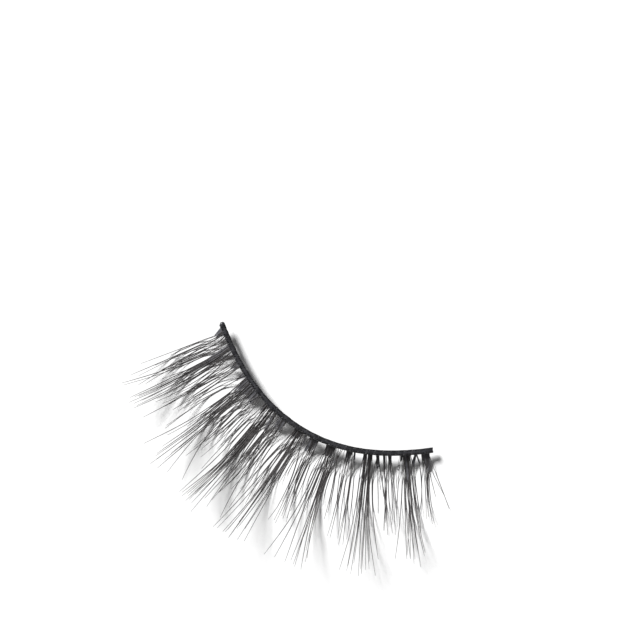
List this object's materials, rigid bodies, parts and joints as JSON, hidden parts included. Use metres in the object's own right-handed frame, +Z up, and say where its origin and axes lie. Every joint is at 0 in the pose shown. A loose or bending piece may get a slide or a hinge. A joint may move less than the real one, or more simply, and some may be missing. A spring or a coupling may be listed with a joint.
{
  "type": "false eyelash strip",
  "caption": "False eyelash strip: a thin curved band with tufts of curled, tapered fibres tied along its outer edge, lying curl up.",
  "frame": {"origin": "on the surface the strip lies on, under the middle of the strip's box", "axes": "+X along the chord of the band, from its left end to its right end seen from above; -Y the way the tufts point, away from the eye; +Z up, the way the tips curl"},
  "size_m": [0.0398, 0.021, 0.0059],
  "materials": {
    "band": "black cotton thread set in black glue, satin",
    "fibre": "black drawn polyester fibre, soft satin sheen"
  },
  "bodies": {
    "root": {"lash_band": "band", "lash_tuft_01": "fibre", "lash_tuft_02": "fibre", "lash_tuft_03": "fibre", "lash_tuft_04": "fibre", "lash_tuft_05": "fibre", "lash_tuft_06": "fibre", "lash_tuft_07": "fibre", "lash_tuft_08": "fibre", "lash_tuft_09": "fibre", "lash_tuft_10": "fibre", "lash_tuft_11": "fibre", "lash_tuft_12": "fibre", "lash_tuft_13": "fibre", "lash_tuft_14": "fibre", "lash_tuft_15": "fibre", "lash_tuft_16": "fibre", "lash_tuft_17": "fibre", "lash_tuft_18": "fibre", "lash_tuft_19": "fibre", "lash_tuft_20": "fibre", "lash_tuft_21": "fibre", "lash_tuft_22": "fibre", "lash_tuft_23": "fibre", "lash_tuft_24": "fibre"}
  },
  "joints": []
}
